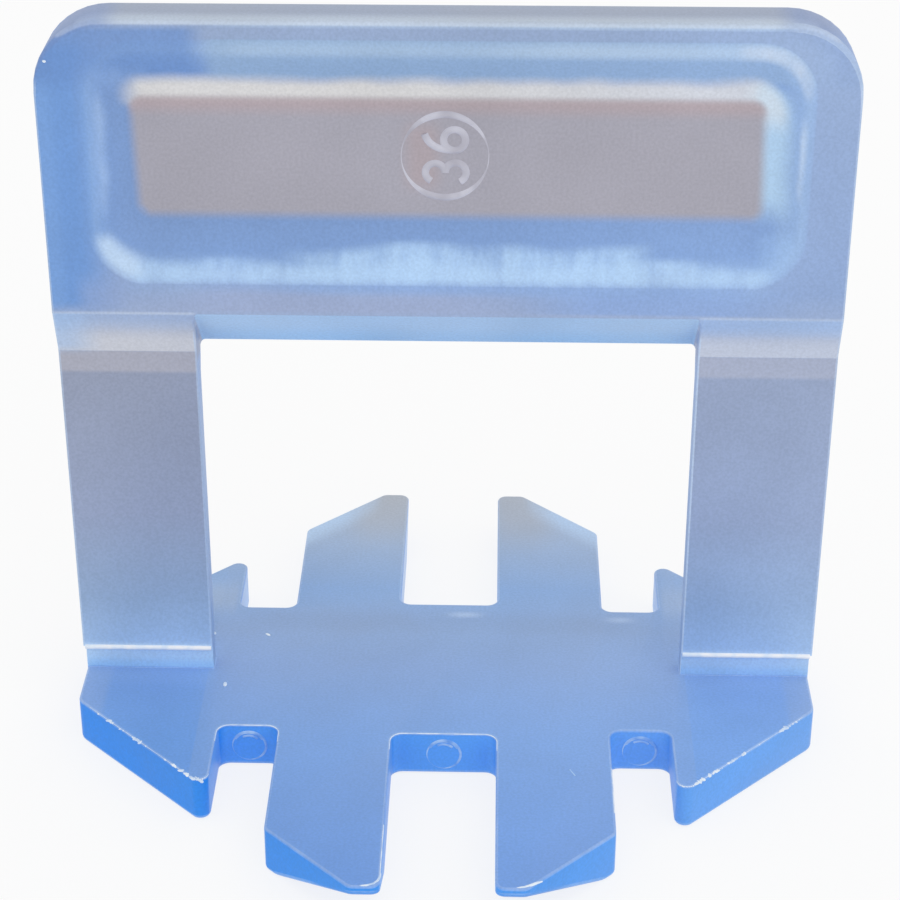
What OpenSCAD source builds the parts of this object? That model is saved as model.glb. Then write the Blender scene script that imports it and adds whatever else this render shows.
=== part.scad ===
// Tile levelling clip: one moulded piece with a fingered foot plate that lies under
// the tile edges, two flat legs that stand in the joint, and a bridge for the wedge.
// Millimetres, +Z up. The origin is the centre of the foot plate's underside,
// X runs along the joint, across the window, and Y runs across the joint.

/* [Foot plate] */
// Width of the foot plate across both legs
foot_w = 44.2; // [40:0.1:60]
// Length of the foot plate from finger tip to finger tip
foot_l = 43; // [40:0.5:60]
// Thickness of the foot plate
foot_t = 2.9; // [2:0.1:4]
// Length of the plate's straight side beside a leg
side_flat = 8.4; // [6:0.1:10]
// Rounding at the ends of the straight side
side_round = 1; // [0.3:0.1:2]
// Width of each long finger between its notches
finger_w = 6.7; // [5:0.1:8]
// Width left square at the tip of a long finger
tip_flat = 1.7; // [1.2:0.1:4]
// Rounding of the finger tips
tip_round = 0.6; // [0.2:0.1:0.8]

/* [Notches between the fingers] */
// Width of the middle notch
mid_notch_w = 6.2; // [4:0.1:8]
// Distance from the plate's centre line to the middle notch's end wall
mid_notch_y = 7.2; // [5:0.1:9]
// Width of each side notch
side_notch_w = 3.6; // [2:0.1:5]
// Distance from the plate's centre line to a side notch's end wall
side_notch_y = 6.6; // [5:0.1:8]
// Rounding in the notch corners
notch_round = 0.7; // [0.2:0.1:0.9]

/* [Toes] */
// Length of the rising underside at the tip of a long finger
toe_l = 4.5; // [2:0.1:5]
// Thickness of the plate at the tip of a long finger
toe_t = 0.6; // [0.4:0.1:1.5]

/* [Legs] */
// Distance that each leg stands out past the foot plate's side
leg_overhang = 0.15; // [0:0.05:1]
// Width of the wedge window
window_w = 28.6; // [24:0.1:30]
// Thickness of the legs, which is the joint width
leg_t = 1.5; // [1:0.1:2]
// Thickness of the neck where the legs snap off
neck_t = 1.2; // [0.6:0.1:2]
// Height of the neck above the foot plate
neck_h = 1.55; // [0.8:0.05:3]

/* [Bridge] */
// Overall height of the clip
clip_h = 44.5; // [40:0.5:60]
// Thickness of the bridge
bridge_t = 3.3; // [2.8:0.1:5]
// Height of the bridge's front face
bridge_h = 17.1; // [16:0.1:20]
// Rounding of the bridge's upper corners
bridge_round = 4; // [1:0.1:5]
// Height of the slope from the bridge's face down to a leg
haunch_h = 2.8; // [1:0.1:5]
// Distance that the back slope sits below the front one
haunch_drop = 1.8; // [0:0.1:3]
// Slope of the bridge's underside, down towards the back
bevel_angle = 45; // [35:1:55]
// Rounding of the window's upper corners
window_round = 0.3; // [0.1:0.1:1]

/* [Pocket in each face of the bridge] */
// Width of the rim at each end of the pocket
rim_end = 2.4; // [1.5:0.1:4]
// Width of the rim above the pocket
rim_top = 1; // [0.6:0.1:3]
// Width of the rim below the pocket
rim_low = 1.8; // [0.6:0.1:3]
// Thickness of the web between the two pocket floors
web_t = 1.3; // [0.8:0.1:2]
// Spread of the curved wall at each end of the floor
end_wall = 2.4; // [1:0.1:3]
// Spread of the curved wall above the floor
top_wall = 3.5; // [1:0.1:4]
// Spread of the curved wall below the floor
low_wall = 3.8; // [1:0.1:4]
// Corner rounding of the floor
floor_round = 0.8; // [0.3:0.1:2]

/* [Hidden] */
arc_steps = 10;
wall_steps = 10;
over = 1;

half_w = foot_w / 2;
half_l = foot_l / 2;
finger_in = mid_notch_w / 2;
finger_out = finger_in + finger_w;
notch_out = finger_out + side_notch_w;
tip_x = finger_in + tip_flat;
toe_start = half_l - toe_l;
toe_rise = (foot_t - toe_t) / toe_l;

frame_w = foot_w + 2 * leg_overhang;
neck_top = foot_t + neck_h;
face_low = clip_h - bridge_h;
front_leg_top = face_low - haunch_h;
back_low = face_low - haunch_drop;
back_leg_top = back_low - haunch_h;

rim_x = frame_w / 2 - rim_end;
rim_bottom = face_low + rim_low;
rim_roof = clip_h - rim_top;
pocket_depth = (bridge_t - web_t) / 2;

function unit(v) = v / norm(v);

function turned(v, angle) =
    [v.x * cos(angle) - v.y * sin(angle), v.x * sin(angle) + v.y * cos(angle)];

// Arc of radius r that rounds the corner p on the way from a to b
function corner_arc(a, p, b, r) =
    let (
        u = unit(a - p),
        v = unit(b - p),
        half = acos(u * v) / 2,
        centre = p + unit(u + v) * r / sin(half),
        first = p + u * r / tan(half) - centre,
        last = p + v * r / tan(half) - centre,
        turn = (180 - 2 * half) * sign(cross(first, last))
    )
    [for (i = [0:arc_steps]) centre + turned(first, turn * i / arc_steps)];

// Outline with each corner [x, y, r] rounded by its own radius
function rounded(corners) =
    let (n = len(corners), flat = [for (c = corners) [c.x, c.y]])
    [for (i = [0:n - 1])
        each corners[i].z > 0
            ? corner_arc(flat[(i + n - 1) % n], flat[i], flat[(i + 1) % n], corners[i].z)
            : [flat[i]]];

// Y on the slanting edge that cuts all the fingers of one corner, at a given x
function slant_y(x) =
    side_flat / 2 + (half_l - side_flat / 2) * (half_w - x) / (half_w - tip_x);

// One quarter of the foot plate's corners, from the middle notch round to the side
quarter = [
    [finger_in, mid_notch_y, notch_round],
    [finger_in, half_l, tip_round],
    [tip_x, half_l, tip_round],
    [finger_out, slant_y(finger_out), tip_round],
    [finger_out, side_notch_y, notch_round],
    [notch_out, side_notch_y, notch_round],
    [notch_out, slant_y(notch_out), tip_round],
    [half_w, side_flat / 2, side_round]
];

// A quarter's corners mirrored by the signs sx and sy, reversed where the walk turns back
function mirrored(sx, sy) =
    let (n = len(quarter))
    [for (i = [0:n - 1])
        let (c = quarter[sx * sy > 0 ? i : n - 1 - i]) [sx * c.x, sy * c.y, c.z]];

module foot_outline() {
    polygon(rounded(concat(mirrored(1, 1), mirrored(1, -1), mirrored(-1, -1), mirrored(-1, 1))));
}

// Extrudes a [y, z] outline across the part
module across(width) {
    rotate([90, 0, 90]) linear_extrude(width, center = true) children();
}

// Extrudes an [x, z] outline from front to back
module through(depth) {
    rotate([90, 0, 0]) linear_extrude(depth, center = true) children();
}

// Space under the rising underside of the long fingers on one side
module toe_cut() {
    across(foot_w) polygon([
        [toe_start, -over],
        [toe_start, 0],
        [half_l + over, toe_rise * (half_l + over - toe_start)],
        [half_l + over, -over]
    ]);
}

module foot() {
    difference() {
        linear_extrude(foot_t) foot_outline();
        toe_cut();
        mirror([0, 1, 0]) toe_cut();
    }
}

// Section through a leg and the bridge, in [y, z]
module frame_section() {
    polygon([
        [-neck_t / 2, foot_t / 2],
        [neck_t / 2, foot_t / 2],
        [neck_t / 2, neck_top],
        [leg_t / 2, neck_top],
        [leg_t / 2, back_leg_top],
        [bridge_t / 2, back_low],
        [bridge_t / 2, clip_h],
        [-bridge_t / 2, clip_h],
        [-bridge_t / 2, face_low],
        [-leg_t / 2, front_leg_top],
        [-leg_t / 2, neck_top],
        [-neck_t / 2, neck_top]
    ]);
}

// Front view of the legs and the bridge with the window still filled, in [x, z]
module frame_outline() {
    side = frame_w / 2;
    polygon(rounded([
        [-half_w, 0, 0],
        [half_w, 0, 0],
        [half_w, neck_top, 0],
        [side, neck_top, 0],
        [side, clip_h, bridge_round],
        [-side, clip_h, bridge_round],
        [-side, neck_top, 0],
        [-half_w, neck_top, 0]
    ]));
}

// Window outline with rounded upper corners, its top edge on y = 0
module window_outline() {
    side = window_w / 2;
    polygon(rounded([
        [-side, -clip_h, 0],
        [side, -clip_h, 0],
        [side, 0, window_round],
        [-side, 0, window_round]
    ]));
}

// Wedge window: its top follows the bevelled underside of the bridge
module window_cut() {
    intersection() {
        translate([0, -bridge_t / 2, face_low])
            rotate([90 - bevel_angle, 0, 0])
                linear_extrude(2 * clip_h, center = true) window_outline();
        translate([-foot_w / 2, -foot_l / 2, foot_t]) cube([foot_w, foot_l, clip_h]);
    }
}

// Pocket outline at a depth: its floor where grow is 0 and its rim where grow is 1
function pocket_ring(grow, depth) =
    let (
        in = 1 - grow,
        x = rim_x - in * end_wall,
        low = rim_bottom + in * low_wall,
        top = rim_roof - in * top_wall,
        r = floor_round + grow * end_wall
    )
    [for (p = rounded([[-x, low, r], [x, low, r], [x, top, r], [-x, top, r]]))
        [p.x, depth - bridge_t / 2, p.y]];

// Solid through a list of rings that have the same number of points
module loft(rings) {
    n = len(rings[0]);
    last = len(rings) - 1;
    polyhedron(
        [for (ring = rings) each ring],
        concat(
            [[for (i = [0:n - 1]) i], [for (i = [0:n - 1]) last * n + n - 1 - i]],
            [for (k = [0:last - 1], i = [0:n - 1])
                let (j = (i + 1) % n) [k * n + j, k * n + i, k * n + n + i, k * n + n + j]]
        )
    );
}

// Pocket in the front face: a flat floor whose walls rise in a soft S up to the rim
module pocket_cut() {
    loft(concat(
        [for (i = [0:wall_steps])
            let (grow = i / wall_steps, sunk = (1 + cos(180 * grow)) / 2)
            pocket_ring(grow, pocket_depth * sunk)],
        [pocket_ring(1, -over)]
    ));
}

module frame() {
    difference() {
        intersection() {
            across(frame_w) frame_section();
            through(2 * bridge_t) frame_outline();
        }
        window_cut();
        pocket_cut();
        mirror([0, 1, 0]) pocket_cut();
    }
}

module clip() {
    color("#86a8dc") union() {
        foot();
        frame();
    }
}

clip();
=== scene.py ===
import math

import bmesh
import bpy
from mathutils import Matrix, Vector


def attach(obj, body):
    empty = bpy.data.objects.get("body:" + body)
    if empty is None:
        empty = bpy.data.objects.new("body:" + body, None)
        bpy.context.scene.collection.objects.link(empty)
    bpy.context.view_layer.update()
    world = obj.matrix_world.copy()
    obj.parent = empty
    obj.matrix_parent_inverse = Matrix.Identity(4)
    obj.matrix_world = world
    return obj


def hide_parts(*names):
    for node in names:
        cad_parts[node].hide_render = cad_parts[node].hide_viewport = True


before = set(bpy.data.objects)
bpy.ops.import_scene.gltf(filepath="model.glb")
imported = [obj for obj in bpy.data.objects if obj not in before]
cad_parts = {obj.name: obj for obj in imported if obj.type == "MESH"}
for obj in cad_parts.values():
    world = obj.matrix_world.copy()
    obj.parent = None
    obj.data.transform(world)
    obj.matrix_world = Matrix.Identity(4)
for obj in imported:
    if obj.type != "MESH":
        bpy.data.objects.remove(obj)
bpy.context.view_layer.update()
mm = 0.001
noiseLow, noiseHigh = 0.3, 0.7  # a noise texture seldom strays past these
scene = bpy.context.scene
print("frame loaded", sorted(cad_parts))


def linear(hexCode):  # sRGB hex to a linear RGBA colour
    parts = [int(hexCode[i:i + 2], 16) / 255 for i in (1, 3, 5)]
    return [c / 12.92 if c <= 0.04045 else ((c + 0.055) / 1.055) ** 2.4 for c in parts] + [1.0]


def addNode(tree, kind, inputs=None, **settings):  # an input is a value or another node's output
    node = tree.nodes.new(kind)
    for name, value in settings.items():
        setattr(node, name, value)
    for socket, value in (inputs or {}).items():
        if isinstance(value, bpy.types.NodeSocket):
            tree.links.new(value, node.inputs[socket])
        else:
            node.inputs[socket].default_value = value
    return node.outputs[0] if len(node.outputs) else node


def newMaterial(name):
    material = bpy.data.materials.new(name)
    material.use_nodes = True
    return material, material.node_tree, material.node_tree.nodes["Principled BSDF"]


def placed(name, mesh):
    piece = bpy.data.objects.new(name, mesh)
    scene.collection.objects.link(piece)
    return piece


def settled(piece):  # what the piece's modifiers make becomes its own mesh
    shaped = bpy.data.meshes.new_from_object(piece.evaluated_get(bpy.context.evaluated_depsgraph_get()))
    piece.modifiers.clear()
    piece.data = shaped
    return shaped


# Milky polypropylene, injection moulded: thick walls show deep blue, thin ones go grey and hazy, edges catch light
# The ramps and zones paint much of this in: edge highlights, the surroundings showing in thin parts, other light and
# shade
plastic = {
    "roughness": (0.39, 0.53),
    "ior": 1.49,
    "grainMm": 0.16,            # moulded skin, drawn coarser than life so that it shows
    "grainLevel": (0.945, 1.055),
    "skinMm": 0.02,             # height of the skin's bumps
    "skinStrength": 0.12,
    "hazeMm": 6.0,              # slow cloudiness of the melt
    "hazeLevel": (0.95, 1.05),
    "lumpMm": (0.9, 2.6, 2.6),  # flow marks breaking up the painted highlight bands, drawn out upwards
    "lumpSpan": (0.31, 0.66),
    "lumpLeast": 0.42,
    "ways": {                   # mm between waves and mm of wander, for zones with an uneven edge
        "straight": (1, 0),
        "rippled": (2.4, 0.12),
        "rolling": (6.5, 0.5),
    },
    "swing": 4,                 # noise strays about a quarter from its middle
    "floorAway": 0.65,          # |y| of the pocket's floor
    "faceAway": 1.65,           # |y| of the bridge's face
    "panelCentre": (0.08, 0, 36.45),
    "panelHalf": (16.5, 9, 2.7),
    "panelLean": 0.03,          # the panel's ends lean over a little
    "slantMm": 26.3,            # |x| + |y| on the foot's slanted edges
}
# Ramps and zones are laid over each other in this order, inside soft limits: (low, high, softness), softness one
# value or one for each end. Along x, y, z, away = |y| and side = |x| in mm; out = mm outside the pocket's panel;
# slant = mm in from the foot's slanted edges; climb = 0 to 1 up the pocket's wall; up and facing by the normal.
# A zone covers by its mix, its limits wander by its way, flow marks break a lumpy one, and an edge one, a painted
# highlight, keeps to the softened edges
ramps = {
    # The walls darken to the left and lighten to the right: painted shade and light, as from a lamp on the right
    "walls": {"along": "x", "stops": ((-22, "#0c88f0"), (0, "#3593f0"), (22, "#489aef"))},
    # The foot's top greys towards the back: the grey surroundings painted in where the thin tips show them
    "footTop": {"along": "y", "up": (0.5, None, 0.2), "stops": (
        (-21, "#6298e6"), (-8, "#75a5e8"), (0, "#85a6db"), (4, "#8ba9d6"), (9, "#86ade0"), (15, "#a4b9d5"),
        (21, "#b9bec2"),
    )},
    # The lowest stops, on the neck, are painted lighter against the shade under the legs' ends
    "legsAndBridge": {"along": "z", "z": (2.95, None, 0.03), "stops": (
        (2.9, "#9dccfb"), (3.3, "#a4cffa"), (3.6, "#b2d5f8"), (4.5, "#c3defa"), (4.9, "#a5c5ec"), (8, "#96b0d3"),
        (14, "#96a3c1"), (23.2, "#97a0b8"), (26.6, "#a4b3d1"), (29, "#90a8d3"), (44.4, "#97abce"),
    )},
    # The lighter stops up the pocket's wall are a painted light band
    "pocketWall": {"along": "climb", "climb": (None, 0.95, 0.05), "side": (None, 20.0, 0.05), "z": (29.0, 43.7, 0.05),
        "stops": ((0, "#7b9bce"), (0.5, "#7d9fd4"), (0.68, "#89aadb"), (0.82, "#9dbae2"), (1, "#93afdb"))},
}
zones = {
    "underside": {"hex": "#6c9de4", "up": (None, -0.5, 0.2), "z": (None, 2.5, 0.1)},
    # Painted lighter against the shade inside the notches
    "notchWall": {"hex": "#62aeff", "mix": 0.6,
        "up": (-0.5, 0.5, 0.2), "away": (None, 7.6, 0.2), "side": (None, 13.2, 0.3), "z": (None, 2.75, 0.1)},
    "notchSide": {"hex": "#7fb5f4", "mix": 0.7,
        "facing": (None, 0.4, 0.1), "up": (-0.5, 0.5, 0.2), "side": (None, 13.6, 0.1), "z": (None, 2.75, 0.1)},
    # Painted light shining through from behind
    "notchSideBack": {"hex": "#c8def8", "mix": 0.85,
        "facing": (None, 0.4, 0.1), "up": (-0.5, 0.5, 0.2), "side": (None, 13.6, 0.1), "y": (6.0, None, 0.5),
        "z": (None, 2.75, 0.1)},
    "backNotchShade": {"hex": "#839dc6", "mix": 0.55,
        "y": (4.0, 6.0, 0.9), "side": (None, 12, 2), "z": (2.8, 3.0, 0.04)},
    "backNotchSheen": {"hex": "#bdd4f1", "mix": 0.75,
        "x": (0.2, 1.9, 0.7), "y": (5.7, 6.2, 0.3), "z": (2.8, 3.0, 0.04)},
    "backSideSheen": {"hex": "#bdd4f1", "mix": 0.75,
        "x": (10.2, 11.6, 0.7), "y": (5.3, 5.8, 0.3), "z": (2.8, 3.0, 0.04)},
    "backToothHaze": {"hex": "#b0c2da", "mix": 0.55,
        "side": (13.6, None, 0.3), "y": (6.2, 9.6, 1.3), "up": (0.5, None, 0.2), "z": (2.8, 3.0, 0.04)},
    "backTipGlow": {"hex": "#c4def9", "mix": 0.95,
        "slant": (None, 1.3, 0.9), "y": (10, None, 2), "side": (5.2, 9.9, (0.5, 0.1)), "up": (0.5, None, 0.2),
        "z": (2.8, 3.0, 0.04)},
    # Painted: the greyish surroundings showing through the thin back tips
    "backBeige": {"hex": "#b9b6b1", "mix": 0.5,
        "y": (16, None, 3), "side": (3, 6.5, 1.2), "up": (0.5, None, 0.2), "z": (2.8, 3.0, 0.04)},
    "footSide": {"hex": "#74a9f0", "mix": 0.35,
        "side": (14.6, None, 0.8), "y": (None, -1.5, 1.0), "up": (0.5, None, 0.2), "z": (2.8, 3.0, 0.04)},
    # Painted lighter against the shade in the corners under the legs
    "neckFoot": {"hex": "#8cb4ec", "mix": 0.5,
        "side": (14.2, None, 0.4), "away": (None, 2.2, 0.9), "z": (2.8, 3.0, 0.04)},
    # Painted sheen on the haunches' slopes, front and back, with painted shade under the front one
    "haunchFrontSheen": {"hex": "#cdd0da", "z": (24.62, 26.2, (0.05, 1.0)), "y": (None, -0.7, 0.04)},
    "haunchShade": {"hex": "#aeb0bf", "z": (23.3, 24.6, (0.15, 0.05)), "y": (None, -0.7, 0.04)},
    "haunchBackSheen": {"hex": "#cdd0da", "z": (22.82, 24.4, (0.05, 1.0)), "y": (0.7, None, 0.04)},
    "haunchTop": {"hex": "#a6c4ee", "mix": 0.6,
        "z": (26.3, 27.4, (0.6, 0.05)), "x": (14.2, None, 0.2), "y": (None, -1.2, 0.1)},
    "haunchTopLeft": {"hex": "#a6c4ee", "mix": 0.25,
        "z": (26.3, 27.4, (0.6, 0.05)), "x": (None, -14.2, 0.2), "y": (None, -1.2, 0.1)},
    "haunchLeft": {"hex": "#a3c5f0", "mix": 0.6,
        "x": (None, -20.6, 1.3), "z": (24.7, 27.4, (0.5, 0.05)), "y": (None, -0.7, 0.04)},
    # Painted highlight along the upper crease of the haunch
    "haunchLine": {"hex": "#c9d6ea", "mix": 0.55,
        "z": (27.34, 27.5, 0.07), "side": (14.2, None, 0.2), "y": (None, -1.5, 0.1)},
    "upperWall": {"hex": "#95b3d7", "mix": 0.8,
        "x": (-12.8, None, 0.6), "z": (41.0, 43.7, 0.25), "climb": (0.25, 0.98, 0.04)},
    "upperLight": {"hex": "#bbd3ec", "mix": 0.4, "way": "rippled",
        "x": (-12, 19, 1.5), "z": (41.4, None, 0.4), "climb": (0.72, 0.93, 0.08)},
    "upperLightRight": {"hex": "#c3d9ef", "mix": 0.45, "way": "rippled",
        "x": (4, 19, (4, 1.5)), "z": (41.4, None, 0.4), "climb": (0.72, 0.93, 0.08)},
    "leftDeep": {"hex": "#6697d9", "mix": 0.85,
        "x": (None, -19.2, 1.3), "climb": (0.62, None, 0.3), "z": (27.7, 43.4, (0.5, 0.9))},
    # Painted highlight along the pocket's rounded rim, on the left
    "leftRimHighlight": {"hex": "#a9c6ee", "mix": 0.6, "way": "rippled", "lumpy": True,
        "x": (-19.15, -18.65, 0.28), "z": (33.5, 40, 0.9), "y": (None, 0, 0.05)},
    "leftOuter": {"hex": "#7fa9e2", "mix": 0.45,
        "x": (None, -21.4, 0.5), "climb": (0.98, None, 0.02), "z": (27.7, 42, (0.5, 1.5))},
    "cornerDeep": {"hex": "#6890cd", "mix": 0.75,
        "x": (None, -13.4, 0.8), "z": (40.9, 44.1, (0.8, 0.25)), "climb": (0.25, None, 0.15)},
    "cornerHaze": {"hex": "#94b4e4", "mix": 0.5, "way": "rippled", "lumpy": True,
        "x": (-19.4, -16.6, 0.9), "z": (40.5, 41.7, 0.6), "y": (None, 0, 0.05)},
    "leftFoot": {"hex": "#92a8d3", "mix": 0.6,
        "x": (-20.5, -18.0, 0.6), "z": (27.7, 29.4, (0.1, 0.9)), "y": (None, -1.2, 0.1)},
    "lowRim": {"hex": "#a0aed0", "mix": 0.7,
        "climb": (0.98, None, 0.02), "x": (-15, 3, 4), "z": (27.6, 28.9, (0.1, 0.4))},
    "lowRimRight": {"hex": "#86a8e0", "mix": 0.6,
        "climb": (0.98, None, 0.02), "x": (6, 18, 3), "z": (27.6, 28.9, (0.1, 0.4))},
    "ringRight": {"hex": "#9dbce4", "mix": 0.6,
        "x": (18.2, 20.2, 0.4), "z": (30.5, 42, 1.0), "climb": (0.2, 0.9, (0.05, 0.14))},
    # Painted highlight streak on the upper right of the pocket's wall
    "cornerHighlightStreak": {"hex": "#d3dfee", "mix": 0.8, "way": "rippled", "lumpy": True,
        "climb": (0.72, 0.95, 0.08), "x": (15.8, 19.5, 0.6), "z": (40.4, 43.3, 0.4)},
    "lowRightGlow": {"hex": "#a4c8f4", "mix": 0.5, "way": "rippled", "lumpy": True,
        "x": (17.4, 19.4, 0.6), "z": (29.6, 32.4, 0.6), "climb": (0.3, 0.95, 0.1)},
    "upperGlow": {"hex": "#dfdddb", "mix": 0.95, "way": "rippled",
        "out": (None, 1.85, 0.5), "x": (-17.3, 17.4, 0.8), "z": (39.4, None, 0.3)},
    "rightGlow": {"hex": "#bcdcf3", "mix": 0.9, "way": "rippled",
        "out": (None, 2.0, 0.6), "x": (16.8, None, 0.4), "z": (33.5, 40.9, (1.1, 0.7))},
    "glowCorner": {"hex": "#e2ebed", "mix": 0.8,
        "out": (None, 1.8, 0.4), "x": (16.4, None, 0.8), "z": (38.6, None, 0.8)},
    # Painted highlight along the pocket's rounded rim, on the right
    "rightRimHighlight": {"hex": "#d3e5f8", "mix": 0.8, "way": "rippled", "lumpy": True,
        "x": (19.1, 19.4, 0.18), "z": (34.6, 38.8, 0.8)},
    # Painted light over the right side
    "rightSideLight": {"hex": "#a5c6f8", "mix": 0.22, "x": (8, None, 14)},
    # The panel's grey is partly painted: the surroundings showing in and through the thin web; its blush is painted
    # reflection
    "pocketFloor": {"hex": "#a8a6b2", "out": (None, 0.7, 0.4)},
    "panelReflectedBlush": {"hex": "#b6a4a8", "mix": 0.7, "out": (None, 0.75, 0.25), "z": (39.1, None, 0.5)},
    "markBlush": {"hex": "#b3a2a6", "mix": 0.6,
        "x": (-2.2, -0.5, 0.6), "z": (34.8, 38.4, 0.7), "y": (-0.8, 0, 0.05), "out": (None, 0.1, 0.05)},
    "panelCorner": {"hex": "#86a2d2", "mix": 0.7,
        "x": (None, -16.75, 0.3), "z": (None, 33.45, 0.3), "out": (None, 0.8, 0.2)},
    "underGlow": {"hex": "#86a9e0", "mix": 0.55,
        "x": (-9, 17, 3), "z": (28.75, 29.5, 0.35), "away": (1.3, None, 0.1)},
    "lowerGlow": {"hex": "#b5d5f9", "mix": 0.95, "way": "rolling", "lumpy": True,
        "climb": (0.56, 0.95, (0.06, 0.1)), "z": (28.8, 30.5, (0.5, 0.4)), "x": (-18, 17.5, 0.8)},
    "lowerGlowMid": {"hex": "#b5d6fa", "mix": 0.9, "way": "rolling", "lumpy": True,
        "climb": (0.34, 0.9, (0.06, 0.1)), "z": (29.3, 31.35, (0.4, 0.45)), "x": (-8.5, 10.5, 1.2)},
    "cornerGlow": {"hex": "#cbe3fc", "mix": 0.75,
        "climb": (0.58, 0.9, 0.12), "x": (-19.5, -17.1, 0.8), "z": (29.3, 32.0, 0.5)},
    # The bridge's top is painted grey-lavender: the light and reflection falling on it
    "topFace": {"hex": "#97a3ba", "up": (0.75, None, 0.2), "z": (40, None, 0.2)},
    # Painted highlights along the top's front edge
    "topFrontHighlight": {"hex": "#becbdb", "mix": 0.75, "way": "rippled",
        "up": (0.75, None, 0.2), "z": (44.2, None, 0.1), "y": (-1.5, -0.6, (0.1, 0.7))},
    "topEdgeHighlight": {"hex": "#c9d6e7", "mix": 0.75,
        "up": (0.4, 0.9, 0.16), "z": (43.5, None, 0.1), "away": (1.2, None, 0.05)},
    "topCornerShade": {"hex": "#718dc4", "mix": 0.52,
        "up": (0.12, None, 0.1), "side": (18, None, 0.8), "z": (41, None, 0.5)},
    "windowRoof": {"hex": "#b2d1f2", "up": (None, -0.55, 0.1), "z": (23.5, 28, 0.2)},
    "roofLow": {"hex": "#9ccaf5", "mix": 0.6,
        "up": (None, -0.55, 0.1), "y": (0.2, None, 0.9), "z": (23.5, 28, 0.2)},
    "roofEdge": {"hex": "#e6f0fb", "mix": 0.7,
        "up": (None, -0.5, 0.1), "y": (1.45, None, 0.08), "x": (None, -7, 5), "z": (23.5, 25, 0.2)},
    "legInside": {"hex": "#95b1da",
        "facing": (None, 0.5, 0.1), "side": (None, 14.6, 0.05), "z": (3.0, 24, 0.3)},
    "legOutside": {"hex": "#a3b7d8",
        "facing": (None, 0.5, 0.1), "side": (20.5, None, 0.3), "z": (3.0, 42, 0.3)},
    # From here on, painted highlights along the softened edges
    "outerEdge": {"hex": "#c0d6f3", "mix": 0.45, "edge": True,
        "z": (4.7, 41.0, 0.4), "side": (21.8, None, 0.1)},
    "cornerEdge": {"hex": "#d3e3f6", "mix": 0.35, "edge": True, "z": (39.8, None, 0.6), "x": (18.2, None, 0.6)},
    "windowEdge": {"hex": "#c0d6f3", "mix": 0.5, "edge": True,
        "z": (4.7, 26.0, 0.3), "side": (None, 14.7, 0.1)},
    "windowEdgeRight": {"hex": "#d3e4f8", "mix": 0.5, "edge": True,
        "z": (2.95, 26.0, (0.05, 0.3)), "x": (13.9, 14.7, 0.1)},
    "footEdge": {"hex": "#c4daf8", "mix": 0.32, "edge": True, "lumpy": True, "z": (2.5, 3.0, 0.1)},
    "footLowEdge": {"hex": "#8cbcf6", "mix": 0.5, "edge": True, "z": (None, 1.5, 0.3)},
}


def plasticMeasures(tree, values):  # places in mm, and all that limits are laid along, once for each way
    spot = addNode(tree, "ShaderNodeTexCoord").node.outputs
    exact = addNode(tree, "ShaderNodeVectorMath", {0: spot["Object"], "Scale": 1 / mm}, operation="SCALE")
    turn = addNode(tree, "ShaderNodeSeparateXYZ", {0: spot["Normal"]}).node.outputs
    facing = addNode(tree, "ShaderNodeMath", {0: turn["Y"]}, operation="ABSOLUTE")
    depth = addNode(tree, "ShaderNodeSeparateXYZ", {0: exact}).node.outputs["Y"]
    away = addNode(tree, "ShaderNodeMath", {0: depth}, operation="ABSOLUTE")
    wave = addNode(tree, "ShaderNodeMapRange", {
        "Value": away, "From Min": values["floorAway"], "From Max": values["faceAway"], "To Min": 1.0, "To Max": -1.0,
    })
    angle = addNode(tree, "ShaderNodeMath", {0: wave}, operation="ARCCOSINE")
    climb = addNode(tree, "ShaderNodeMath", {0: angle, 1: math.pi}, operation="DIVIDE")
    ways = {}
    for name, (waveMm, wanderMm) in values["ways"].items():
        place = exact
        if wanderMm:
            stray = wanderMm * values["swing"]
            noise = addNode(tree, "ShaderNodeTexNoise", {"Vector": exact, "Scale": 1 / waveMm, "Detail": 0.6}).node
            shift = addNode(tree, "ShaderNodeVectorMath", {0: noise.outputs["Color"], 1: (0.5, 0.5, 0.5)},
                            operation="SUBTRACT")
            place = addNode(tree, "ShaderNodeVectorMath", {0: shift, 1: (stray, 0, stray), 2: exact},
                            operation="MULTIPLY_ADD")
        way = dict(zip("xyz", addNode(tree, "ShaderNodeSeparateXYZ", {0: place}).node.outputs))
        way["side"] = addNode(tree, "ShaderNodeMath", {0: way["x"]}, operation="ABSOLUTE")
        off = addNode(tree, "ShaderNodeVectorMath", {0: place, 1: values["panelCentre"]}, operation="SUBTRACT")
        rise = addNode(tree, "ShaderNodeSeparateXYZ", {0: off}).node.outputs["Z"]
        lean = addNode(tree, "ShaderNodeMath", {0: rise, 1: values["panelLean"]}, operation="MULTIPLY")
        lean = addNode(tree, "ShaderNodeCombineXYZ", {"X": lean})
        off = addNode(tree, "ShaderNodeVectorMath", {0: off, 1: lean}, operation="ADD")
        off = addNode(tree, "ShaderNodeVectorMath", {0: off}, operation="ABSOLUTE")
        off = addNode(tree, "ShaderNodeVectorMath", {0: off, 1: values["panelHalf"]}, operation="SUBTRACT")
        off = addNode(tree, "ShaderNodeVectorMath", {0: off, 1: (0, 0, 0)}, operation="MAXIMUM")
        way["out"] = addNode(tree, "ShaderNodeVectorMath", {0: off}, operation="LENGTH").node.outputs["Value"]
        reach = addNode(tree, "ShaderNodeMath", {0: way["side"], 1: away}, operation="ADD")
        way["slant"] = addNode(tree, "ShaderNodeMath", {
            0: reach, 1: -math.sqrt(0.5), 2: values["slantMm"] * math.sqrt(0.5),
        }, operation="MULTIPLY_ADD")
        way["away"], way["climb"], way["up"], way["facing"] = away, climb, turn["Z"], facing
        ways[name] = way
    return exact, ways


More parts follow.
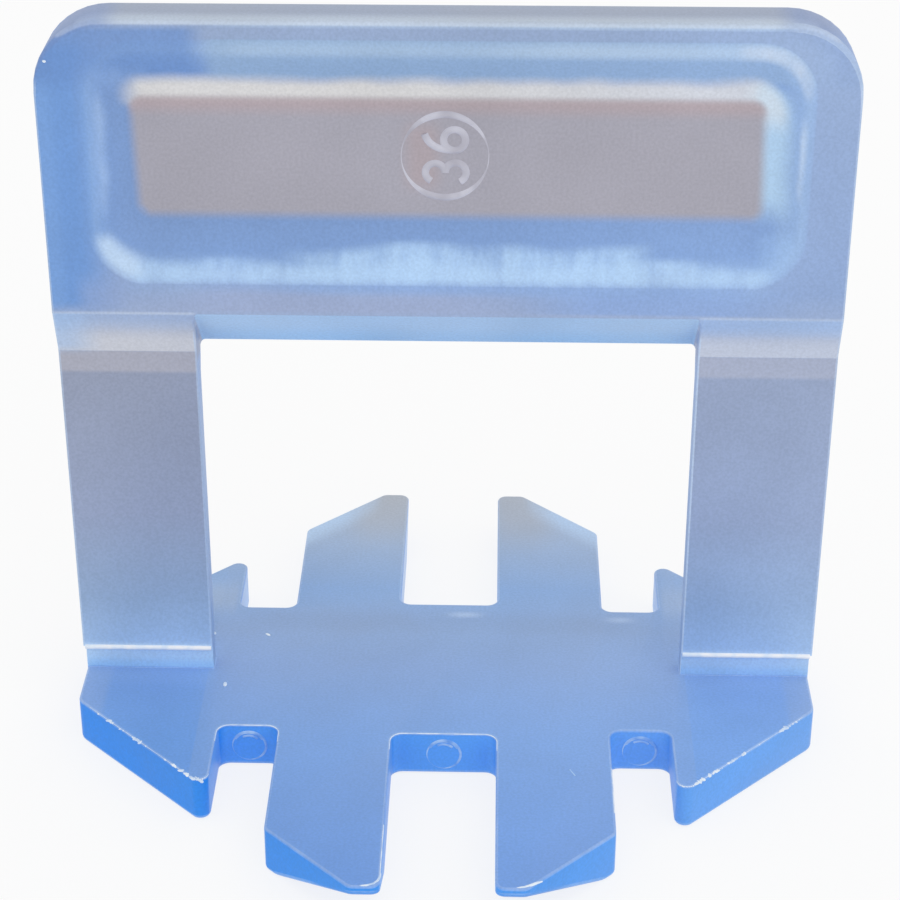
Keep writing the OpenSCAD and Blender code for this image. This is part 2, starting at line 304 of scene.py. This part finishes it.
def mouldedPlastic(values, rampTable, zoneTable):
    material, tree, shader = newMaterial("polypropyleneMoulded")
    exact, ways = plasticMeasures(tree, values)
    cloud = addNode(tree, "ShaderNodeTexNoise", {"Vector": exact, "Scale": 1 / values["hazeMm"], "Detail": 2.0})
    drawn = addNode(tree, "ShaderNodeVectorMath", {0: exact, 1: values["lumpMm"]}, operation="DIVIDE")
    lumps = addNode(tree, "ShaderNodeTexNoise", {"Vector": drawn, "Scale": 1.0, "Detail": 3.0, "Roughness": 0.6})
    low, high = values["lumpSpan"]
    lumps = addNode(tree, "ShaderNodeMapRange", {
        "Value": lumps, "From Min": low, "From Max": high, "To Min": values["lumpLeast"],
    })
    edges = addNode(tree, "ShaderNodeAttribute", attribute_name="edgeLight").node.outputs["Fac"]

    def lay(under, over, limits):  # lays a colour over another inside soft limits
        way = ways[limits.get("way", "straight")]
        parts = [lumps] if limits.get("lumpy") else []
        parts += [edges] if limits.get("edge") else []
        for axis in way:
            low, high, soft = limits.get(axis, (None, None, 0))
            softLow, softHigh = soft if isinstance(soft, tuple) else (soft, soft)
            for limit, margin, start in ((low, softLow, 0), (high, softHigh, 1)):
                if limit is not None:
                    parts.append(addNode(tree, "ShaderNodeMapRange", {
                        "Value": way[axis], "From Min": limit - margin, "From Max": limit + margin,
                        "To Min": start, "To Max": 1 - start,
                    }, interpolation_type="SMOOTHSTEP"))
        mask = limits.get("mix", 1.0)
        for part in parts:
            mask = addNode(tree, "ShaderNodeMath", {0: part, 1: mask}, operation="MULTIPLY")
        mixed = addNode(tree, "ShaderNodeMix", {"Factor": mask, 6: under, 7: over}, data_type="RGBA")
        return mixed.node.outputs[2]

    colour = None
    for ramp in rampTable.values():
        stops = ramp["stops"]
        low, high = stops[0][0], stops[-1][0]
        share = addNode(tree, "ShaderNodeMapRange", {
            "Value": ways["straight"][ramp["along"]], "From Min": low, "From Max": high,
        })
        over = addNode(tree, "ShaderNodeValToRGB", {0: share})
        elements = over.node.color_ramp.elements
        while len(elements) < len(stops):
            elements.new(0.5)
        for element, (at, hexCode) in zip(elements, stops):
            element.position = (at - low) / (high - low)
        for element, (at, hexCode) in zip(elements, stops):
            element.color = linear(hexCode)
        colour = over if colour is None else lay(colour, over, ramp)
    for zone in zoneTable.values():
        colour = lay(colour, linear(zone["hex"]), zone)

    grain = addNode(tree, "ShaderNodeTexNoise", {"Vector": exact, "Scale": 1 / values["grainMm"], "Detail": 1.0})
    spread = {"From Min": noiseLow, "From Max": noiseHigh}
    for source, (low, high) in ((cloud, values["hazeLevel"]), (grain, values["grainLevel"])):
        level = addNode(tree, "ShaderNodeMapRange", {"Value": source, **spread, "To Min": low, "To Max": high})
        colour = addNode(tree, "ShaderNodeVectorMath", {0: colour, "Scale": level}, operation="SCALE")
    tree.links.new(colour, shader.inputs["Base Color"])
    low, high = values["roughness"]
    gloss = addNode(tree, "ShaderNodeMapRange", {"Value": cloud, **spread, "To Min": low, "To Max": high})
    tree.links.new(gloss, shader.inputs["Roughness"])
    skin = addNode(tree, "ShaderNodeBump", {
        "Height": grain, "Strength": values["skinStrength"], "Distance": values["skinMm"] * mm,
    })
    tree.links.new(skin, shader.inputs["Normal"])
    shader.inputs["IOR"].default_value = values["ior"]
    return material


clipPlastic = mouldedPlastic(plastic, ramps, zones)
print("plastic ready,", len(clipPlastic.node_tree.nodes), "nodes")

# The moulded clip: the solid's own mesh with its edges softened as a mould leaves them; mm unless named in degrees
clipEdges = {
    "mergeMm": 0.002,      # loose corners of the solid's triangles are joined
    "flatDeg": 0.3,        # flatter than this is one face
    "waist": 36.5,         # height of the cut that halves the faces round the pockets, which lie past rimAway
    "rimAway": 1.64,
    "cutMm": 0.0001,       # nearer to a cut than this is on it, and onCutMm once it is cut
    "onCutMm": 0.001,
    "smoothDeg": 14,       # a bend up to this is a curve
    "creaseDeg": 20,       # a bend up to this stays a crisp crease
    "roofLow": 27.0,       # the window's upper edges stay crisp too, at the back roofDrop lower
    "roofDrop": 3.3,
    "roofHalf": 14.31,
    "roofAway": 1.2,
    "outlineMm": 0.14,     # outlines of the foot and the bridge
    "footLowMm": 0.3,      # lower edges of the foot, up to footHigh
    "footHigh": 2.5,
    "bridgeTopMm": 0.4,    # upper edges of the bridge, growing from cornerLow up
    "cornerLow": 40.4,
    "clipTop": 44.5,
    "legMm": 0.1,          # edges of the window, and uprights of the legs up to legHigh
    "legHigh": 24,
    "windowHalf": 14.45,
    "faceLow": 27.6,
    "legEndLow": 4.4,      # lower front and back edges of the legs
    "legEndAway": 0.7,
    "neckMm": 0.045,       # snap-off neck
    "neckLow": 2.8,
    "neckHigh": 4.6,
    "neckAway": 0.8,
    "levelShare": 0.9,     # more of x than this in an edge's run is level, less than uprightShare is upright
    "uprightShare": 0.1,
    "segments": 4,
}


def edgeWidth(edge, sizes):  # None where the edge stays crisp or is part of a curve
    first, last = (v.co for v in edge.verts)
    bend = math.degrees(abs(edge.calc_face_angle_signed(0)))
    middle = (first + last) / 2 / mm
    side, away, height = abs(middle.x), abs(middle.y), middle.z
    along = abs((last - first).normalized().x)
    roofLow = sizes["roofLow"] if middle.y < 0 else sizes["roofLow"] - sizes["roofDrop"]
    roof = side < sizes["roofHalf"] and away > sizes["roofAway"] and roofLow < height < sizes["faceLow"]
    if bend < sizes["creaseDeg"] or roof:
        edge.smooth = bend < sizes["smoothDeg"]
        return None
    if sizes["neckLow"] < height < sizes["neckHigh"] and away < sizes["neckAway"]:
        legEnd = height > sizes["legEndLow"] and away > sizes["legEndAway"] and along > sizes["levelShare"]
        return sizes["legMm"] if legEnd else sizes["neckMm"]
    upright = height < sizes["legHigh"] and along < sizes["uprightShare"]
    if sizes["neckHigh"] < height < sizes["faceLow"] and (side < sizes["windowHalf"] or upright):
        return sizes["legMm"]
    if height < sizes["footHigh"]:
        return sizes["footLowMm"]
    rise = max(0, (height - sizes["cornerLow"]) / (sizes["clipTop"] - sizes["cornerLow"]))
    return sizes["outlineMm"] + (sizes["bridgeTopMm"] - sizes["outlineMm"]) * rise


def mouldedBody(cadObject, sizes, material):
    bm = bmesh.new()
    bm.from_mesh(cadObject.data)
    bmesh.ops.remove_doubles(bm, verts=bm.verts, dist=sizes["mergeMm"] * mm)
    cuts = (Vector((0, 0, 0)), Vector((1, 0, 0))), (Vector((0, 0, sizes["waist"] * mm)), Vector((0, 0, 1)))
    for place, across in cuts:
        parts = bm.verts[:] + bm.edges[:] + bm.faces[:]
        bmesh.ops.bisect_plane(bm, geom=parts, dist=sizes["cutMm"] * mm, plane_co=place, plane_no=across)
    near, rim = sizes["onCutMm"] * mm, sizes["rimAway"] * mm
    kept = {edge for edge in bm.edges for place, across in cuts
            if all(abs((v.co - place).dot(across)) < near and abs(v.co.y) > rim for v in edge.verts)}
    bmesh.ops.dissolve_limit(
        bm, angle_limit=math.radians(sizes["flatDeg"]), edges=[edge for edge in bm.edges if edge not in kept],
        verts=[v for v in bm.verts if kept.isdisjoint(v.link_edges)],
    )
    weight = bm.edges.layers.float.new("bevel_weight_edge")
    for edge in bm.edges:
        width = edgeWidth(edge, sizes)
        edge[weight] = (width or 0) / sizes["bridgeTopMm"]
    for face in bm.faces:
        face.smooth = True
    mesh = bpy.data.meshes.new("clipBody")
    bm.to_mesh(mesh)
    bm.free()
    piece = placed("clipBody", mesh)
    mesh.materials.append(material)
    mesh.materials.append(material)  # the second slot marks the softened edges for a moment
    soft = piece.modifiers.new("softEdges", "BEVEL")
    soft.limit_method = "WEIGHT"
    soft.width = sizes["bridgeTopMm"] * mm
    soft.segments = sizes["segments"]
    soft.use_clamp_overlap = False
    soft.harden_normals = True
    soft.miter_outer = "MITER_ARC"
    soft.material = 1
    shaped = settled(piece)
    marked = shaped.attributes.new("edgeLight", "FLOAT", "FACE")
    for face in shaped.polygons:
        marked.data[face.index].value = face.material_index
        face.material_index = 0
    shaped.materials.pop(index=1)
    return piece


clipBody = mouldedBody(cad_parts["clip"], clipEdges, clipPlastic)
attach(clipBody, "root")
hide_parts("clip")
print("clip body", len(clipBody.data.polygons), "faces")


# Small moulding marks: beads that run along paths, and flecks strewn along them, grown by two Geometry Nodes trees
def newTree(name, inputs):
    tree = bpy.data.node_groups.new(name, "GeometryNodeTree")
    tree.interface.new_socket("Paths", in_out="INPUT", socket_type="NodeSocketGeometry")
    for label, kind in inputs:
        tree.interface.new_socket(label, in_out="INPUT", socket_type="NodeSocket" + kind)
    tree.interface.new_socket("Geometry", in_out="OUTPUT", socket_type="NodeSocketGeometry")
    return tree, addNode(tree, "NodeGroupInput").node.outputs


def beadTree():  # a round bead along each path, thicker and thinner as it goes
    tree, given = newTree("beadOnPaths", (
        ("Radius", "Float"), ("Unevenness", "Float"), ("Waves per metre", "Float"), ("Seed", "Int"),
        ("Finish", "Material"),
    ))
    noise = addNode(tree, "ShaderNodeTexNoise", {
        "W": given["Seed"], "Scale": given["Waves per metre"], "Detail": 1.0,
    }, noise_dimensions="4D")
    least = addNode(tree, "ShaderNodeMath", {0: 1.0, 1: given["Unevenness"]}, operation="SUBTRACT")
    most = addNode(tree, "ShaderNodeMath", {0: 1.0, 1: given["Unevenness"]}, operation="ADD")
    swell = addNode(tree, "ShaderNodeMapRange", {
        "Value": noise, "From Min": noiseLow, "From Max": noiseHigh, "To Min": least, "To Max": most,
    })
    swell = addNode(tree, "ShaderNodeMath", {0: swell, 1: 0.1}, operation="MAXIMUM")  # never thinner than a tenth
    curve = addNode(tree, "GeometryNodeMeshToCurve", {"Mesh": given["Paths"]})
    sized = addNode(tree, "GeometryNodeSetCurveRadius", {"Curve": curve, "Radius": swell})
    section = addNode(tree, "GeometryNodeCurvePrimitiveCircle", {"Resolution": 8, "Radius": given["Radius"]})
    bead = addNode(tree, "GeometryNodeCurveToMesh", {"Curve": sized, "Profile Curve": section, "Fill Caps": True})
    smooth = addNode(tree, "GeometryNodeSetShadeSmooth", {"Geometry": bead})
    real = addNode(tree, "GeometryNodeRealizeInstances", {"Geometry": smooth})
    done = addNode(tree, "GeometryNodeSetMaterial", {"Geometry": real, "Material": given["Finish"]})
    addNode(tree, "NodeGroupOutput", {0: done})
    return tree


def fleckTree():  # flattened grains strewn along each path, some left out
    tree, given = newTree("flecksOnPaths", (
        ("Radius", "Float"), ("Spacing", "Float"), ("Left out", "Float"), ("Seed", "Int"), ("Finish", "Material"),
    ))
    smallest, largest = (0.5, 0.5, 0.35), (1.7, 1.0, 0.6)  # shares of the radius
    lean, circle = 0.2, 6.28  # radians
    curve = addNode(tree, "GeometryNodeMeshToCurve", {"Mesh": given["Paths"]})
    points = addNode(tree, "GeometryNodeCurveToPoints", {"Curve": curve, "Length": given["Spacing"]}, mode="LENGTH")
    dropped = addNode(tree, "FunctionNodeRandomValue", {
        "Probability": given["Left out"], "Seed": given["Seed"],
    }, data_type="BOOLEAN").node.outputs[3]
    kept = addNode(tree, "GeometryNodeDeleteGeometry", {"Geometry": points, "Selection": dropped})
    grain = addNode(tree, "GeometryNodeMeshIcoSphere", {"Radius": given["Radius"], "Subdivisions": 2})
    size = addNode(tree, "FunctionNodeRandomValue", {
        0: smallest, 1: largest, "Seed": given["Seed"],
    }, data_type="FLOAT_VECTOR")
    turn = addNode(tree, "FunctionNodeRandomValue", {
        0: (-lean, -lean, 0), 1: (lean, lean, circle), "Seed": given["Seed"],
    }, data_type="FLOAT_VECTOR")
    strewn = addNode(tree, "GeometryNodeInstanceOnPoints", {
        "Points": kept, "Instance": grain, "Rotation": turn, "Scale": size,
    })
    real = addNode(tree, "GeometryNodeRealizeInstances", {"Geometry": strewn})
    smooth = addNode(tree, "GeometryNodeSetShadeSmooth", {"Geometry": real})
    done = addNode(tree, "GeometryNodeSetMaterial", {"Geometry": smooth, "Material": given["Finish"]})
    addNode(tree, "NodeGroupOutput", {0: done})
    return tree


def grown(name, tree, paths, values):  # paths are lists of points in mm, closed where the last point is the first
    points, edges = [], []
    for path in paths:
        closed = path[0] == path[-1]
        first, count = len(points), len(path) - closed
        points += [Vector(p) * mm for p in path[:count]]
        edges += [(first + i, first + i + 1) for i in range(count - 1)]
        edges += [(first + count - 1, first)] if closed else []
    mesh = bpy.data.meshes.new(name)
    mesh.from_pydata(points, edges, [])
    piece = placed(name, mesh)
    nodes = piece.modifiers.new(name, "NODES")
    nodes.node_group = tree
    for socket in tree.interface.items_tree:
        if socket.in_out == "INPUT" and socket.name in values:
            nodes[socket.identifier] = values[socket.name]
    shaped = settled(piece)
    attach(piece, "root")
    print(name, len(shaped.polygons), "faces")


def line(start, end, count):
    return [tuple(a + (b - a) * i / count for a, b in zip(start, end)) for i in range(count + 1)]


def arc(centre, radius, fromDeg, toDeg, count):  # in the front view: x to the right, z up
    turns = [math.radians(fromDeg + (toDeg - fromDeg) * i / count) for i in range(count + 1)]
    points = [(centre[0] + radius * math.cos(t), centre[1], centre[2] + radius * math.sin(t)) for t in turns]
    return points[:-1] + points[:1] if abs(toDeg - fromDeg) == 360 else points


# Near-white at the legs' lower ends: painted light, as the translucent plastic carries light out at this edge
legEndGlowFinish = {
    "name": "polypropyleneLegEndGlow", "light": "#ffffff", "shade": "#e4f0fd", "spotMm": 0.8, "roughness": (0.3, 0.5),
}
# Polypropylene thin enough to scatter light, so that flash shows nearly white; drawn coarser than life
flashWhite = {
    "name": "polypropyleneWhitened", "light": "#eef7fe", "shade": "#c3dbf8", "spotMm": 0.5, "roughness": (0.35, 0.55),
}
# Ejector pin marks: real rings, coloured lighter as a painted highlight on their edges
pinRingHighlight = {
    "name": "polypropylenePinMark", "light": "#b4d6fb", "shade": "#6ba6f0", "spotMm": 0.9, "roughness": (0.25, 0.45),
}
# Polypropylene raised by the mould's engraving
markPlastic = {
    "name": "polypropyleneEngraved", "light": "#cbcbd8", "shade": "#acaab7", "spotMm": 1.7, "roughness": (0.3, 0.5),
}


def markFinish(values):
    material, tree, shader = newMaterial(values["name"])
    shadeBelow, lightAbove = 0.35, 0.6  # of the noise
    spot = addNode(tree, "ShaderNodeTexCoord").node.outputs["Object"]
    noise = addNode(tree, "ShaderNodeTexNoise", {
        "Vector": spot, "Scale": 1 / (values["spotMm"] * mm), "Detail": 2.0,
    })
    share = addNode(tree, "ShaderNodeMapRange", {"Value": noise, "From Min": shadeBelow, "From Max": lightAbove})
    mixed = addNode(tree, "ShaderNodeMix", {
        "Factor": share, 6: linear(values["shade"]), 7: linear(values["light"]),
    }, data_type="RGBA")
    tree.links.new(mixed.node.outputs[2], shader.inputs["Base Color"])
    low, high = values["roughness"]
    gloss = addNode(tree, "ShaderNodeMapRange", {"Value": noise, "To Min": low, "To Max": high})
    tree.links.new(gloss, shader.inputs["Roughness"])
    shader.inputs["IOR"].default_value = plastic["ior"]
    return material


beads, flecks = beadTree(), fleckTree()
finishes = (legEndGlowFinish, flashWhite, pinRingHighlight, markPlastic)
legEndGlow, white, pinBlue, markGrey = (markFinish(finish) for finish in finishes)

# Bead along the lower end of each leg, where the neck starts, painted bright as the light glowing out at this edge
legEnds = {
    "from": 14.38, "to": 22.1, "away": 0.72, "height": 4.47, "steps": 30,
    "bead": {"Radius": 0.17 * mm, "Unevenness": 0.12, "Waves per metre": 700.0, "Seed": 3, "Finish": legEndGlow},
}


def legEndPath(values, side, face):
    start, end = ((side * values[key], face * values["away"], values["height"]) for key in ("from", "to"))
    return line(start, end, values["steps"])


legEndPaths = [legEndPath(legEnds, side, face) for side in (-1, 1) for face in (-1, 1)]
grown("legEndBeads", beads, legEndPaths, legEnds["bead"])

# Ejector pin marks on the end walls of the notches
pins = {
    "places": ((-11.6, 6.6), (0, 7.2), (11.6, 6.6)),            # x and |y|
    "height": 1.42,
    "arcs": ((1.0, 0, 360), (0.93, 30, 150), (0.72, 45, 120)),  # radius, from and to degrees
    "steps": 40,
    "sink": 0.07,
    "lean": 0.02,  # each ring stands out at the upper right and fades at the lower left
    "bead": {"Radius": 0.1 * mm, "Unevenness": 0.85, "Waves per metre": 500.0, "Seed": 8, "Finish": pinBlue},
}


def pinPaths(values):
    paths = []
    midZ = values["height"]
    for midX, wall in values["places"]:
        for face in (-1, 1):
            for radius, first, last in values["arcs"]:
                ring = arc((midX, 0, midZ), radius, first, last, values["steps"])
                away = [wall - values["sink"] + values["lean"] * (x - midX + z - midZ) for x, y, z in ring]
                paths.append([(x, face * depth, z) for (x, y, z), depth in zip(ring, away)])
    return paths


grown("pinMarks", beads, pinPaths(pins), pins["bead"])

# Mould cavity mark in the front pocket: a worn ring and a plain number that reads upwards
cavity = {
    "centre": (-0.1, 36.6),
    "depth": 0.42,
    "ring": 2.4,
    "ringSteps": 72,
    "ringSink": 0.075,  # worn thin at its sides
    "gap": 0.95,        # from the centre to the middle of each digit
    "three": ((0.54, 0.54, 155, -90), (-0.58, 0.58, 90, -155)),   # height, radius, from and to degrees of each bow
    "threeSteps": 16,
    "sixBowl": (-0.52, 0.6),                                      # height and radius
    "sixTail": ((-0.6, -0.5), (-0.6, 0.85), (0.35, 1.12)),        # start, corner and end of its curve
    "bowlSteps": 28,
    "tailSteps": 12,
    "bead": {"Radius": 0.315 * mm, "Unevenness": 0.2, "Waves per metre": 420.0, "Seed": 5, "Finish": markGrey},
}


def curved(corners, t):  # a place on a quadratic curve
    start, corner, end = corners
    return (1 - t) ** 2 * start + 2 * t * (1 - t) * corner + t * t * end


def cavityPaths(values):
    midX, midZ = values["centre"]
    bowlHeight, bowlRadius = values["sixBowl"]
    tailX, tailZ = zip(*values["sixTail"])
    shares = [i / values["tailSteps"] for i in range(values["tailSteps"] + 1)]
    three = [arc((0, 0, height), radius, first, last, values["threeSteps"])
             for height, radius, first, last in values["three"]]
    six = [arc((0, 0, bowlHeight), bowlRadius, 0, 360, values["bowlSteps"]),
           [(curved(tailX, t), 0, curved(tailZ, t)) for t in shares]]
    ring = arc((midX, 0, midZ), values["ring"], 0, 360, values["ringSteps"])
    paths = [[(x, values["ringSink"] * ((x - midX) / values["ring"]) ** 2 - values["depth"], z) for x, y, z in ring]]
    for strokes, shift in ((three, -values["gap"]), (six, values["gap"])):
        paths += [[(midX - z, -values["depth"], midZ + shift + x) for x, y, z in stroke] for stroke in strokes]
    return paths


grown("cavityMark", beads, cavityPaths(cavity), cavity["bead"])

# Flash on the front teeth and fingers: a broken line with loose grains along the outer teeth's slanted edges, chips
# where it tore, and a thin line on the upper edges of two notches and two fingers
flash = {
    "slant": 26.3,            # |x| + |y| on the slanted edges
    "inset": 0.075,
    "height": 2.825,
    "tooth": (21.3, 14.45),   # x along a slanted edge
    "tip": (14.0, 11.45),     # centre of the tooth's rounded tip
    "tipRound": 0.53,
    "tipDegs": range(60, 181, 15),                           # round the tip and a little way back along the notch
    "notches": ((-13.4, -9.8, -6.6), (-3.1, 3.1, -7.2)),     # left, right and end wall
    "notchRound": 0.7,
    "notchDegs": range(0, 91, 15),
    "notchDown": 0.9,         # how far the line runs on past the notch's corners
    "fingers": ((-3.15, -16.0, -20.6), (9.75, -10.4, -14.6)),  # x, and y from and to
    "edgeInset": 0.05,
    "edgeHeight": 2.85,
    "chips": (                # x and y
        (-19.8, -6.4), (-17.9, -8.3), (-15.3, -10.9), (-14.5, -11.7), (-14.0, -11.95),
        (20.1, -6.1), (17.3, -8.9), (16.8, -9.4), (15.6, -10.6), (14.7, -11.5),
    ),
    "chipHalf": 0.25,
    "chipHeight": 2.84,
    "steps": {"line": 80, "grain": 4, "down": 6, "wall": 20, "finger": 24},
    "line": {"Radius": 0.05 * mm, "Unevenness": 1.3, "Waves per metre": 1500.0, "Seed": 11, "Finish": white},
    "edge": {"Radius": 0.035 * mm, "Unevenness": 1.3, "Waves per metre": 900.0, "Seed": 15, "Finish": white},
    "grain": {"Radius": 0.1 * mm, "Spacing": 0.3 * mm, "Left out": 0.6, "Seed": 4, "Finish": white},
    "chip": {"Radius": 0.145 * mm, "Spacing": 0.17 * mm, "Left out": 0.25, "Seed": 6, "Finish": white},
}


def toothEdges(values, count):
    first, last = values["tooth"]
    tipX, tipY = values["tip"]
    reach = values["slant"] - values["inset"] * math.sqrt(2)
    run = [(x, reach - x) for x, y, z in line((first, 0, 0), (last, 0, 0), count)]
    turns = [math.radians(deg) for deg in values["tipDegs"]]
    run += [(tipX + values["tipRound"] * math.cos(t), tipY + values["tipRound"] * math.sin(t)) for t in turns]
    return [[(side * x, -y, values["height"]) for x, y in run] for side in (-1, 1)]


def notchEdges(values):  # upper edges of the notches' end walls and corners, then of two fingers
    z, turn, steps = values["edgeHeight"], values["notchRound"], values["steps"]
    wide = turn + values["edgeInset"]
    bends = [math.radians(deg) for deg in values["notchDegs"]]
    paths = []
    for left, right, wall in values["notches"]:
        first = [(left + turn - wide * math.cos(t), wall - turn + wide * math.sin(t), z) for t in bends]
        last = [(left + right - x, y, z) for x, y, z in reversed(first)]
        start, end = ((x, y - values["notchDown"], z) for x, y, z in (first[0], last[-1]))
        path = line(start, first[0], steps["down"]) + first[1:] + line(first[-1], last[0], steps["wall"])[1:]
        paths.append(path + last[1:] + line(last[-1], end, steps["down"])[1:])
    return paths + [line((x, start, z), (x, end, z), steps["finger"]) for x, start, end in values["fingers"]]


def chipPath(values, x, y):  # along the slanted edge
    half, z = values["chipHalf"], values["chipHeight"]
    rise = math.copysign(half, x)
    return line((x - half, y - rise, z), (x + half, y + rise, z), 1)


grown("flashLines", beads, toothEdges(flash, flash["steps"]["line"]), flash["line"])
grown("edgeFlash", beads, notchEdges(flash), flash["edge"])
grown("flashGrains", flecks, toothEdges(flash, flash["steps"]["grain"]), flash["grain"])
grown("flashChips", flecks, [chipPath(flash, x, y) for x, y in flash["chips"]], flash["chip"])

# Frosted crescents where the melt met at two finger tips
crescents = {
    "height": 2.855,
    "sink": 0.1,  # the ends sink into the skin
    "left": ((-4.6, -21.35), (-4.2, -21.37), (-3.8, -21.35), (-3.45, -21.21), (-3.24, -20.95), (-3.18, -20.6),
             (-3.17, -20.2)),
    "right": ((3.9, -21.37), (4.3, -21.35), (4.7, -21.28), (5.0, -21.12), (5.3, -20.87), (5.6, -20.59)),
    "bead": {"Radius": 0.09 * mm, "Unevenness": 0.35, "Waves per metre": 900.0, "Seed": 7, "Finish": white},
}


def crescentPath(values, side):
    last = len(values[side]) - 1
    depths = [values["sink"] * abs(2 * i / last - 1) ** 2 for i in range(last + 1)]
    return [(x, y, values["height"] - depth) for (x, y), depth in zip(values[side], depths)]


grown("tipCrescents", beads, [crescentPath(crescents, side) for side in ("left", "right")], crescents["bead"])

# Skin flaws: pale specks on the foot, a leg and the bridge, and one short scratch on the foot
flaws = {
    "specks": ((-13.43, -2.33, 2.9), (-14.3, 0.5, 4.75), (-11.3, 3.3, 2.87), (-21.5, -1.65, 42.2)),
    "speckLength": 0.1,
    "scratch": ((7.35, -10.6, 2.9), (7.65, -11.2, 2.9)),
    "scratchSteps": 8,
    "speck": {"Radius": 0.17 * mm, "Spacing": 0.4 * mm, "Left out": 0.0, "Seed": 9, "Finish": white},
    "bead": {"Radius": 0.04 * mm, "Unevenness": 0.6, "Waves per metre": 1800.0, "Seed": 2, "Finish": pinBlue},
}
speckPaths = [line((x, y, z), (x + flaws["speckLength"], y, z), 1) for x, y, z in flaws["specks"]]
grown("skinSpecks", flecks, speckPaths, flaws["speck"])
grown("skinScratch", beads, [line(*flaws["scratch"], flaws["scratchSteps"])], flaws["bead"])

# Studio: white paper floor, soft light from the upper right
studio = {
    "paper": "#fafafa",
    "paperRoughness": 0.9,
    "reach": 1.5,
    "dropMm": 0.05,  # a hair below the foot, so that the two don't share a plane
    "glow": 0.47,    # the paper's own light, as the part sees it
    "lit": 0.8,      # the same, as the lens sees it
    "world": 0.845,
    "keyWatts": 0.38,
    "keySize": 0.6,
    "keyPlace": (0.22, -0.26, 0.36),
    "aim": (0, 0, 0.02),
}


def setStudio(values):
    reach, drop = values["reach"], -values["dropMm"] * mm
    corners = [(-reach, -reach, drop), (reach, -reach, drop), (reach, reach, drop), (-reach, reach, drop)]
    floorMesh = bpy.data.meshes.new("floor")
    floorMesh.from_pydata(corners, [], [(0, 1, 2, 3)])
    floor = placed("floor", floorMesh)
    paper, paperTree, sheet = newMaterial("whitePaper")
    world = bpy.data.worlds.new("studio")
    scene.world = world
    world.use_nodes = True
    worldTree = world.node_tree
    seen = []
    for tree in (paperTree, worldTree):  # 1 for what the lens, gloss and clear parts see
        rays = addNode(tree, "ShaderNodeLightPath").node.outputs
        either = addNode(tree, "ShaderNodeMath", {
            0: rays["Is Camera Ray"], 1: rays["Is Glossy Ray"],
        }, operation="MAXIMUM")
        seen.append(addNode(tree, "ShaderNodeMath", {0: either, 1: rays["Is Transmission Ray"]}, operation="MAXIMUM"))
    sheet.inputs["Base Color"].default_value = linear(values["paper"])
    sheet.inputs["Roughness"].default_value = values["paperRoughness"]
    sheet.inputs["Specular IOR Level"].default_value = 0.0
    glow = addNode(paperTree, "ShaderNodeEmission", {"Color": (1, 1, 1, 1), "Strength": 1.0})
    share = addNode(paperTree, "ShaderNodeMapRange", {
        "Value": seen[0], "To Min": values["glow"], "To Max": values["lit"],
    })
    both = addNode(paperTree, "ShaderNodeMixShader", {0: share, 1: sheet.outputs[0], 2: glow})
    paperTree.links.new(both, paperTree.nodes["Material Output"].inputs["Surface"])
    floorMesh.materials.append(paper)
    strength = addNode(worldTree, "ShaderNodeMapRange", {"Value": seen[1], "To Min": values["world"], "To Max": 1.0})
    sky = worldTree.nodes["Background"]
    sky.inputs["Color"].default_value = (1, 1, 1, 1)
    worldTree.links.new(strength, sky.inputs["Strength"])
    lamp = bpy.data.lights.new("key", "AREA")
    lamp.energy = values["keyWatts"]
    lamp.size = values["keySize"]
    key = bpy.data.objects.new("key", lamp)
    key.location = values["keyPlace"]
    key.rotation_euler = (Vector(values["aim"]) - key.location).to_track_quat("-Z", "Y").to_euler()
    scene.collection.objects.link(key)


setStudio(studio)

# Camera at the photograph's angle: mm, degrees, and the lens and the picture's centre in pixels of the frame
cameraView = {
    "place": (2.7, -122.6, 84.0), "pitch": 28.30, "yaw": -1.66, "roll": -0.12,
    "focal": 2376, "frame": 900, "centre": (432.2, 450.8), "sensorMm": 36, "nearMm": 1,
}


def setCamera(view):
    camera = bpy.data.cameras.new("camera")
    holder = bpy.data.objects.new("camera", camera)
    pitch, yaw, roll = (math.radians(view[turn]) for turn in ("pitch", "yaw", "roll"))
    ahead = Vector((math.sin(yaw) * math.cos(pitch), math.cos(yaw) * math.cos(pitch), -math.sin(pitch)))
    right = Vector((math.cos(yaw), -math.sin(yaw), 0))
    up = right.cross(ahead)
    right, up = math.cos(roll) * right + math.sin(roll) * up, math.cos(roll) * up - math.sin(roll) * right
    axes = Matrix((right, up, -ahead)).transposed().to_4x4()
    holder.matrix_world = Matrix.Translation(Vector(view["place"]) * mm) @ axes
    camera.sensor_width = view["sensorMm"]
    camera.lens = view["focal"] / view["frame"] * view["sensorMm"]
    camera.shift_x = 0.5 - view["centre"][0] / view["frame"]
    camera.shift_y = view["centre"][1] / view["frame"] - 0.5
    camera.clip_start = view["nearMm"] * mm
    scene.collection.objects.link(holder)
    scene.camera = holder


setCamera(cameraView)
scene.view_settings.view_transform = "Standard"
print("studio and camera set")
